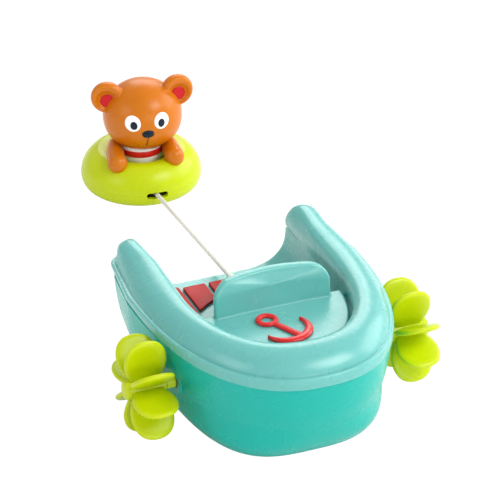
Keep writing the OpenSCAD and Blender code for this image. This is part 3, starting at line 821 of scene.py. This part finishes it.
def foredeck():
    """Foredeck, bulkhead, cowl and motor hump as one soft moulding, hollow below."""
    plate = bevel(prism(well_outline(3.0, -40, 8.6), 47.4, 54.0), 1.3, 4, angle=50)
    bulkhead = prism([(-x, z) for x, z in BULKHEAD] + BULKHEAD[::-1], 6.4, 8.6, "y")
    flange = prism(well_outline(-1.0, -40, 8.6), 47.2, 50.6)
    soft = join([plate, bulkhead, flange, cowl(), hump(0, 27.8, 7.4, 62)])
    sculpt(soft, pick(0.9, 0.42), pick(4, 9))
    return cut(soft, [hump(2, 20, 9.5, 60.4),
                      prism(well_outline(5.6, -40, 6.4), 40, 51.8),
                      box(-19, 19, -30, 15, 20, 51.8),
                      tube((0, 54.4, 42), (0, 64, 42), 2.0, seg=32),
                      floor_opening()])


def deck():
    parts = [rim(), cockpit_tub(), foredeck()]
    for s in SIDES:
        parts.append(prism([(s * x, z) for x, z in STERN_PANEL],
                           STERN_Y - 2.2, STERN_Y - 0.02, "y"))
    # screw posts; the aft pair stops under the cockpit
    for x, y in SCREWS:
        fore = y < 0
        post = rod(x, y, 26.2, 48.2 if fore else 35.8, radius=3.6, seg=32)
        cutters = [rod(x, y, 20, 42 if fore else 33.6, radius=1.1, seg=24)]
        if not fore:
            cutters.append(trough_prism(0, 40, 60))
        parts.append(cut(post, cutters))
    finish(join(parts), "deck_moulding", TURQUOISE, "hull", "turquoise", "deck_shell", sharp=38)


# ---------------------------------------------------------------- cockpit slats
def slat(x, half, y0, ends, side=1, tilted=False):
    """Board on the cockpit floor; ends are the y offsets of its three fore corners."""
    y1, corner, floor_z = 76, 0.6, 30.02
    poly = [(x - half, y0 + ends[0]), (x, y0 + ends[1]), (x + half, y0 + ends[2]),
            (x + half, y1 - corner), (x + half - corner, y1),
            (x - half + corner, y1), (x - half, y1 - corner)]
    ob = bevel(prism(poly, floor_z, 31.5), 0.45, 3)
    if tilted:
        ob.data.transform(shift(21.2, 0, 30.56) @ turn(-14.8, "Y") @ shift(-21.2, 0, -floor_z))
    if side < 0:
        mirror_x(ob)
    return ob


def slats():
    boards = [slat(0, 5.4, 64.4, (0, 0, 0))]
    for s in SIDES:
        boards.append(slat(13.1, 5.85, 50, (10, 6.5, 2), s))
        boards.append(slat(25.6, 4.4, 26, (8, 4, 0), s, tilted=True))
    finish(join(boards), "cockpit_slats", SLAT_RED, "hull", "red", "floor_slats", sharp=40)


# ---------------------------------------------------------------- deck anchor
ANCHOR_Z = 0.7  # mid-height of the relief; what lies below z = 0 is cut off


def anchor_bar(path, widths, height):
    """Bar of oval section along a path of (x, y)."""
    rows = []
    P = np.array(path, float)
    for i, (x, y) in enumerate(P):
        tx, ty = unit(P[min(i + 1, len(P) - 1)] - P[max(i - 1, 0)])
        rows.append([(x - ty * widths[i] * math.cos(b), y + tx * widths[i] * math.cos(b),
                      ANCHOR_Z + height * math.sin(b)) for b in circle(20)])
    return loft(rows, "fan")


def anchor():
    """Raised anchor, drawn with its eye at the origin and its shank along +x."""
    eye_rows = []
    for a in circle(pick(32, 72)):
        radii = [(4.2 + 1.35 * math.cos(b), ANCHOR_Z + 1.1 * math.sin(b)) for b in circle(20)]
        eye_rows.append([(r * math.cos(a), r * math.sin(a), z) for r, z in radii])
    eye = loft(eye_rows + [eye_rows[0]])
    shank = anchor_bar([(x, 0) for x in np.linspace(5.2, 22.3, 24)],
                       [1.5 + 0.35 * (x / 22) for x in np.linspace(5, 22, 24)], 1.1)
    sweep = 98  # degrees each way
    angles = np.radians(np.linspace(-sweep, sweep, 60))
    arms = anchor_bar([(11.7 + 10.6 * math.cos(a), 11.3 * math.sin(a)) for a in angles],
                      [2.25 * (1 - (abs(a) / math.radians(sweep)) ** 1.9) ** 0.8 + 0.12
                       for a in angles], 1.25)
    ob = sculpt(join([eye, shank, arms]), pick(0.35, 0.18), 4)
    cut(ob, [box(-20, 40, -30, 30, -6, 0.0)])
    ob.data.transform(shift(-7.95, -6.0, 54.02) @ turn(-63.44, "Z"))
    finish(ob, "anchor_relief", RED, "hull", "red", "deck_anchor", sharp=50)


# ---------------------------------------------------------------- paddle wheels
WHEEL_X = 67.3
PETALS = 8
PETAL_THICK = 3.3
PETAL_MID_R, PETAL_HALF_R, PETAL_HALF_X = 13.2, 12.4, 10.55
BORE_R = 2.03
BORE_END_X = 8.6
# (x, radius), +x outboard: the bore, then the sleeve, the barrel and the domed cap
HUB_BORE = [(BORE_END_X, 0.01), (BORE_END_X, BORE_R), (-10.8, 2.06)]
HUB_SKIN = [(-10.8, 2.06), (-14.5, 2.06), (-14.7, 2.4), (-14.7, 2.9), (-14.4, 3.2),
            (-10.2, 3.25), (-9.8, 3.9), (-9.2, 4.5), (9.4, 4.6), (10.1, 4.3), (10.5, 3.6),
            (10.75, 2.2), (10.8, 0.01)]


def petal_layers():
    """Rings of (radial, axial, thickness) points over one petal, face to face."""
    upper = [(u, PETAL_THICK / 2 * max(1 - u ** 9, 0) ** 0.5 * (1 - 0.13 * (1 - u ** 3)))
             for u in (0.0, 0.3, 0.55, 0.72, 0.84, 0.9, 0.945, 0.975, 0.993, 1.0)]
    power = 2 / 2.35
    layers = []
    for u, h in upper + [(u, -h) for u, h in upper[::-1][1:]]:
        ring = []
        for a in circle(pick(40, 84)):
            radial = PETAL_MID_R + PETAL_HALF_R * u * signed_pow(math.cos(a), power)
            axial = PETAL_HALF_X * u * signed_pow(math.sin(a), power)
            # narrower towards the hub
            axial *= 0.84 + 0.16 * clamp((radial - 1.5) / 12)
            ring.append((radial, axial, h))
        layers.append(ring)
    return layers


def wheel(name, node, side, phase):
    """Wheel with its first petal phase degrees up from the bow."""
    layers = petal_layers()
    petals = []
    for i in range(PETALS):
        angle = math.radians(phase + 360 / PETALS * i)
        outward = np.array([0, -math.cos(angle), math.sin(angle)])
        around = np.array([0, math.sin(angle), math.cos(angle)])
        axis = np.array([1.0, 0, 0])
        petals.append(loft([[outward * p[0] + axis * p[1] + around * p[2] for p in ring]
                            for ring in layers]))
    hub = lathe_x(HUB_BORE + HUB_SKIN)
    blades = sculpt(join(petals), pick(0.7, 0.36), pick(2, 3))
    # the bore passes the petals too
    cut(blades, [tube((-16, 0, 0), (BORE_END_X, 0, 0), BORE_R)])
    ob = join([blades, hub])
    if side < 0:
        mirror_x(ob)
    ob.data.transform(shift(side * WHEEL_X, 0, AXLE_Z))
    finish(ob, name, LIME, "paddle_axle", "lime", node, sharp=40)


# ---------------------------------------------------------------- swim ring
TOW_SPOT = shift(21.3, 243.4, 0)
RING_PLACE = TOW_SPOT @ turn(-4.65, "Z")
RING_TOP, RING_R = 23.2, 32.9
UPPER_JOINT, LOWER_JOINT = 9.12, 9.08  # edges of the two halves
# (radius, z) from the hole outwards over the top
RING_UPPER = [(12.82, UPPER_JOINT), (12.82, 17.4), (13.9, RING_TOP - 4.4),
              (16.0, RING_TOP - 2.4), (19.4, RING_TOP - 0.8), (23.2, RING_TOP - 0.65),
              (27, RING_TOP - 2.75), (30.1, RING_TOP - 6.1), (32.1, RING_TOP - 10),
              (RING_R, UPPER_JOINT)]
# (radius, z) from the outside in under the bottom
RING_LOWER = [(RING_R, LOWER_JOINT), (32.5, 5.6), (31.0, 2.8), (28, 0.9), (24, 0.1), (20, 0),
              (16.6, 0.8), (13.6, 3.2), (12.82, 6), (12.82, LOWER_JOINT)]
RING_STEPS = pick(3, 6)
RING_SCREWS = [(22.6 * math.cos(t), 22.6 * math.sin(t))
               for t in (math.radians(60), math.radians(180), math.radians(300))]


def ring_half(outline, mid_z, joint, limit):
    """Hollow half ring; limit (max or min) keeps its inner face on its side of the joint."""
    outer = list(curve(outline, RING_STEPS))
    inner = [np.array((20.6 + (r - 20.6) * 0.8, limit(mid_z + (z - mid_z) * 0.82, joint)))
             for r, z in outer]
    return lathe(outer + inner[::-1] + [outer[0]], pick(72, 160))


def cord_slot():
    """Cutter with rounded ends through the side of the ring that faces the boat."""
    outline = [(s * (4.4 + 1.6 * math.cos(t)), 8.7 + s * 1.7 * math.sin(t))
               for s in (1, -1) for t in np.linspace(-math.pi / 2, math.pi / 2, 9)]
    return prism(outline, -40, -24, "y")


def pilot_hole(x, y):
    return rod(x, y, 8, 14, radius=1.0, seg=20)


def ring():
    upper = ring_half(RING_UPPER, UPPER_JOINT, UPPER_JOINT, max)
    cut(upper, [pilot_hole(x, y) for x, y in RING_SCREWS] + [cord_slot()])
    lower = ring_half(RING_LOWER, 9.6, LOWER_JOINT, min)
    head_hole = dict(radius=2.4, seg=28)
    cut(lower, [cord_slot()] + [rod(x, y, -1, 3.4, **head_hole) for x, y in RING_SCREWS])
    posts = [cut(rod(x, y, 1.6, 9.0, radius=3.0, seg=28),
                 [rod(x, y, 1, 12, radius=1.2, seg=20), rod(x, y, 1, 3.4, **head_hole)])
             for x, y in RING_SCREWS]
    lower = join([lower] + posts)
    bosses = [cut(rod(x, y, 9.14, 20.6, radius=2.6, seg=28), [pilot_hole(x, y)])
              for x, y in RING_SCREWS]
    upper = join([upper] + bosses)
    for half, name, node in ((upper, "ring_upper_moulding", "ring_upper"),
                             (lower, "ring_lower_moulding", "ring_lower")):
        half.data.transform(RING_PLACE)
        finish(half, name, LIME, "tow", "lime", node, sharp=38)


# ---------------------------------------------------------------- bear head
NECK_Z = 28
BEAR_PLACE = TOW_SPOT @ turn(-12.0, "Z")
# the head is set a little to one side and tilted at the neck
HEAD_PLACE = (BEAR_PLACE @ shift(1.8, 0, 0) @ shift(0, 0, NECK_Z) @ turn(-1.6, "Y")
              @ shift(0, 0, -NECK_Z))
HEAD_Z, HEAD_R, HEAD_HALF_H = 43.0, 21.5, 19.4
HEAD_DEPTH = 0.94  # depth over width
# (radius, z) of an ear, from the back round the rim into the front hollow
EAR = [(0.01, -3.4), (4.6, -3.3), (7.2, -2.3), (8.6, 0.0), (8.85, 1.8), (8.4, 3.4),
       (7.5, 4.3), (6.4, 4.1), (5.4, 3.2), (4.4, 2.3), (2.4, 1.9), (0.01, 1.8)]
# (radius, z) of the front and the back of an ear lining
LINING_FRONT = [(0.01, 2.5), (1.4, 2.55), (2.6, 2.6), (3.4, 2.55), (3.8, 2.25)]
LINING_BACK = [(3.7, 1.8), (2.6, 1.3), (0.01, 1.2)]


def head_radius(z):
    v = max(-1.0, min(1.0, (z - HEAD_Z) / HEAD_HALF_H))
    if v > 0:
        return HEAD_R * (1 - abs(v) ** 2.0) ** (1 / 2.0)
    return HEAD_R * (1 - abs(v) ** 2.35) ** (1 / 2.1)


def face_y(x, z):
    """y of the front of the head."""
    r = head_radius(z)
    return -math.sqrt(max(r * r - x * x, 0.0)) * HEAD_DEPTH


def ear_place(side, x, z):
    """Turns local +z forward (-Y) and a little outwards."""
    return shift(x, -0.6, z) @ turn(side * 10, "Z") @ turn(90, "X")


def ear(side):
    profile = curve(EAR, pick(2, 5))
    front = int(len(profile) * 0.55)
    rows = []
    for i, (r, z) in enumerate(profile):
        # the hollow in the front sits lower than the rim
        drop = -1.5 * clamp((7.6 - r) / 2.0) if i > front else 0.0
        rows.append([(r * math.cos(t), r * math.sin(t) + drop, z)
                     for t in circle(pick(40, 96))])
    ob = loft(rows)
    ob.data.transform(ear_place(side, 19.0 if side > 0 else -18.6, 55.6))
    return ob


def ear_lining(side):
    ob = lathe([*curve(LINING_FRONT, 4), *LINING_BACK], 48)
    ob.data.transform(ear_place(side, 19.4 if side > 0 else -18.6, 53.7))
    return ob


def head():
    rows = []
    for a in np.linspace(-math.pi / 2, math.pi / 2, pick(40, 100)):
        z = HEAD_Z + HEAD_HALF_H * math.sin(a)
        r = max(head_radius(z), 0.02)
        rows.append([(r * math.cos(t), r * HEAD_DEPTH * math.sin(t), z)
                     for t in circle(pick(64, 160))])
    ob = join([loft(rows, "fan")] + [ear(s) for s in SIDES])
    sculpt(ob, pick(0.8, 0.4), pick(3, 5))
    ob.data.transform(HEAD_PLACE)
    # flat seat on top of the body
    seat = rod(0, 0, 20, 27.9, radius=13, seg=64)
    seat.data.transform(BEAR_PLACE)
    cut(ob, [seat])
    finish(ob, "bear_head_moulding", BROWN, "tow", "brown", "bear_head", sharp=50)

    linings = join([ear_lining(s) for s in SIDES])
    linings.data.transform(HEAD_PLACE)
    finish(linings, "bear_ear_linings", EAR_RED, "tow", "ear_red", "bear_ear_pads", sharp=50)


# ---------------------------------------------------------------- bear face
EYE_Z = 46.1
EYE_LOW_X, EYE_HIGH_X = -7.7, 7.9


def patch(x, z, half_w, half_h, thick, power=2.0, bulge=0.0, sunk=0.4, tilt=0.0):
    """Raised patch that follows the head, domed by bulge, its edge sunk into the head."""
    # (share of the size, height off the head)
    steps = [(u, thick * (1 - u ** 14) + bulge * (1 - u * u))
             for u in (0.0, 0.25, 0.5, 0.7, 0.85, 0.94, 1.0)]
    cos_tilt, sin_tilt = math.cos(tilt), math.sin(tilt)
    layers = []
    for u, h in steps + [(1.02, -sunk)]:
        layer = []
        for a in circle(56):
            dx = half_w * u * signed_pow(math.cos(a), 2 / power)
            dz = half_h * u * signed_pow(math.sin(a), 2 / power)
            px, pz = x + dx * cos_tilt - dz * sin_tilt, z + dx * sin_tilt + dz * cos_tilt
            py = face_y(px, pz)
            # outward normal of the head here
            normal = unit(np.array([px, py / HEAD_DEPTH / HEAD_DEPTH,
                                    (pz - HEAD_Z) * (HEAD_R / HEAD_HALF_H) ** 2]))
            layer.append((px + normal[0] * h, py + normal[1] * h, pz + normal[2] * h))
        layers.append(layer)
    return loft(layers, "fan")


def face():
    whites = join([patch(x, EYE_Z, 4.1, 4.5, 0.3) for x in (EYE_LOW_X, EYE_HIGH_X)])
    whites.data.transform(HEAD_PLACE)
    finish(whites, "bear_eye_whites", WHITE, "tow", "white_plastic", "bear_eyes", sharp=60)
    pupils = join([patch(x, EYE_Z - 0.9, 1.95, 2.4, 0.55, sunk=0.1)
                   for x in (EYE_LOW_X + 0.5, EYE_HIGH_X - 0.3)])
    pupils.data.transform(HEAD_PLACE)
    finish(pupils, "bear_eye_pupils", NAVY, "tow", "dark", "bear_pupils", sharp=60)
    nose = patch(0.1, 39.9, 3.3, 2.2, 0.5, power=2.3, bulge=0.5)
    mouth = patch(-0.35, 34.9, 0.3, 3.5, 0.16, power=3.0, tilt=-0.2)
    nose.data.transform(HEAD_PLACE)
    mouth.data.transform(HEAD_PLACE)
    finish(nose, "bear_nose_paint", NAVY, "tow", "dark", "bear_nose", sharp=60)
    finish(mouth, "bear_mouth_line", MOUTH_BROWN, "tow", "dark")


# ---------------------------------------------------------------- bear body and arms
# (radius, z)
SHIRT = [(0.02, 3), (8, 3), (10, 5), (11, 10), (11.5, 17), (12.0, 19.6), (12.1, 20.6),
         (12.1, 23.4), (12.1, 26.0), (11.5, 27.1), (10.2, 27.8), (0.02, 27.85)]
BAND = [(12.0, 21.8), (12.2, 21.8), (12.4, 21.85), (12.45, 22.0), (12.45, 25.1),
        (12.38, 25.25), (12.2, 25.3), (11.8, 25.25), (11.8, 21.85), (12.0, 21.8)]
# surface of the ring that the arms rest on
ARM_REST = [(12.0, 12), (12.84, 17.4), (13.83, RING_TOP - 2.97), (15.93, RING_TOP - 0.87),
            (19.23, RING_TOP + 0.03), (23.43, RING_TOP - 0.67), (27.03, RING_TOP - 2.72),
            (30.13, RING_TOP - 6.07), (32.13, RING_TOP - 9.97), (RING_R + 0.03, 9.12)]
# (x out from the middle, y, z, radius) from shoulder to paw; the paws differ by side
ARM = [(14.2, -1.5, 25.0, 4.4), (14.9, -6.0, 25.0, 4.6), (15.3, -10.5, 24.8, 4.8)]
PAWS = {1: [(15.7, -14.6, 24.6, 5.1), (15.8, -18.2, 24.4, 5.4)],
        -1: [(15.6, -15.6, 24.1, 5.1), (15.5, -19.6, 23.6, 5.4)]}


def torso():
    seg = pick(64, 128)
    shirt = lathe(curve(SHIRT, 5, corners=(1,)), seg)
    shirt.data.transform(BEAR_PLACE)
    finish(shirt, "bear_body_shirt", WHITE, "tow", "white_plastic", "bear_body", sharp=50)
    band = lathe(BAND, seg)
    band.data.transform(BEAR_PLACE)
    finish(band, "bear_shirt_band", RED, "tow", "red", "bear_shirt_stripe", sharp=50)


def arms():
    balls = [ball(s * x, y, z, r, 24) for s in SIDES for x, y, z, r in curve(ARM + PAWS[s], 6)]
    ob = sculpt(join(balls), pick(0.7, 0.35), pick(4, 8))
    rest = lathe([(0.02, 3.0), (0.02, 12.0), *curve(ARM_REST, pick(3, 6), corners=(1,)),
                  (RING_R, 3.0)], 96)
    cut(ob, [rod(0, 0, 10, 40, radius=12.85, seg=96), rest])
    ob.data.transform(BEAR_PLACE)
    finish(ob, "bear_arm_mouldings", BROWN, "tow", "brown", "bear_arms", sharp=50)


# ---------------------------------------------------------------- pull cord
def cord():
    """Three-strand cord from the stern to the ring."""
    start, end = np.array([0, 59.1, 42.1]), np.array([18.76, 212.2, 8.6])
    radius, strands, turns = 1.13, 3, 28
    along = unit(end - start)
    u = unit(np.cross(along, [0, 0, 1.0]))
    v = np.cross(u, along)
    steps = pick(60, 220)
    rows = []
    for i in range(steps + 1):
        centre = start + (end - start) * i / steps
        twist = i / steps * 2 * math.pi * turns
        rows.append([centre + (radius * (1 + 0.05 * math.cos(strands * (t + twist))))
                     * (math.cos(t) * u + math.sin(t) * v) for t in circle(18)])
    ob = loft(rows, "fan")
    ob.name = "pull_cord"
    ob.data.name = "pull_cord"
    ob.data.materials.append(CORD_WHITE)
    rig.blend(ob, "cord_lead", "tow", tuple(start * MM), tuple(end * MM))
    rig.replaces(ob, "tow_cord")
    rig.slot(ob, "cord")


hull()
deck()
slats()
anchor()
wheel("paddle_wheel_left_side", "paddle_wheel_port", side=1, phase=28.5)
wheel("paddle_wheel_right_side", "paddle_wheel_starboard", side=-1, phase=40.5)
ring()
head()
face()
torso()
arms()
cord()


# ---------------------------------------------------------------- stage, light and camera
def floor_material():
    """Lit as matt white, but seen by the camera as an even glow."""
    mat = bpy.data.materials.new("studio_white")
    mat.use_nodes = True
    tree = mat.node_tree
    wire = tree.links.new
    shader = next(n for n in tree.nodes if n.type == "BSDF_PRINCIPLED")
    out = next(n for n in tree.nodes if n.type == "OUTPUT_MATERIAL")
    noise = add_noise(tree, add_node(tree, "TexCoord"), Scale=3.0)
    mix = add_mix(tree, (0.95, 0.95, 0.95), (0.93, 0.93, 0.93))
    wire(noise.outputs[0], mix.inputs[0])
    wire(mix.outputs[MIX_OUT], shader.inputs["Base Color"])
    shader.inputs["Roughness"].default_value = 0.9
    shader.inputs["Specular IOR Level"].default_value = 0.1
    glow = add_node(tree, "Emission", Strength=1.05)
    rays = add_node(tree, "LightPath")
    choose = add_node(tree, "MixShader")
    wire(rays.outputs["Is Camera Ray"], choose.inputs[0])
    wire(shader.outputs[0], choose.inputs[1])
    wire(glow.outputs[0], choose.inputs[2])
    wire(choose.outputs[0], out.inputs[0])
    return mat


def studio_floor():
    half, z = 3000, -0.02
    corners = [(-half, -half, z), (half, -half, z), (half, half, z), (-half, half, z)]
    ob = make(corners, [(0, 1, 2, 3)], name="studio_floor", smooth=False)
    ob.data.materials.append(floor_material())
    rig.stage(ob)


def studio_world(strength):
    world = bpy.data.worlds.new("studio")
    scene.world = world
    world.use_nodes = True
    background = next(n for n in world.node_tree.nodes if n.type == "BACKGROUND")
    background.inputs[0].default_value = (1, 1, 1, 1)
    background.inputs[1].default_value = strength


def area(name, at, target, size, power):
    """Rectangular light aimed at target; size is (width, height) in metres."""
    light = bpy.data.lights.new(name, "AREA")
    light.shape = "RECTANGLE"
    light.size, light.size_y = size
    light.energy = power
    ob = link(name, light)
    ob.location = at
    ob.rotation_euler = (Vector(target) - Vector(at)).to_track_quat("-Z", "Y").to_euler()


def camera():
    """Looks down on the boat from ahead and to starboard."""
    azimuth, elevation, distance = math.radians(-22.8), math.radians(31.25), 1.4
    aim_left, aim_up = 0.0131, 0.0512  # aim point, off the axle across the view
    roll = 0.0054386
    back = Vector((math.sin(azimuth) * math.cos(elevation),
                   -math.cos(azimuth) * math.cos(elevation), math.sin(elevation)))
    right = Vector((math.cos(azimuth), math.sin(azimuth), 0))
    axle = Vector((0, 0, AXLE_Z * MM))
    at = axle + back * distance
    view = axle - right * aim_left + back.cross(right) * aim_up - at
    data = bpy.data.cameras.new("cam")
    data.sensor_width = 36
    data.lens = 211.9
    data.clip_start = 0.05
    data.clip_end = 50
    ob = link("cam", data)
    ob.location = at
    ob.rotation_euler = (Matrix.Rotation(roll, 3, view.normalized())
                         @ view.to_track_quat("-Z", "Y").to_matrix()).to_euler()
    scene.camera = ob


studio_floor()
studio_world(strength=0.6)
area("back_card", at=(0.53, 1.26, 0.86), target=(0.0, 0.0, 0.05), size=(1.0, 0.8), power=9.0)
area("key", at=(0.55, -0.6, 0.95), target=(0.0, 0.03, 0.03), size=(0.6, 0.5), power=7.6)
area("right_card", at=(1.15, 0.15, 0.55), target=(0.0, 0.05, 0.04), size=(1.0, 0.7), power=8.0)
area("left_card", at=(-1.0, -0.1, 0.6), target=(0.0, 0.1, 0.05), size=(0.5, 0.5), power=2.0)
area("front_card", at=(0.1, -1.3, 0.32), target=(0.0, 0.1, 0.05), size=(0.7, 0.35), power=3.6)
camera()
scene.view_settings.view_transform = "Standard"
scene.view_settings.look = "None"

SHOWN_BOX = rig.bounds()


def plain(bounds):
    return [[float(c) for c in v] for v in bounds]


try:
    json.dump({"cad": plain(CAD_BOX), "shown": plain(SHOWN_BOX)}, open("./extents.json", "w"))
except Exception as e:
    print("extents.json not written", e)
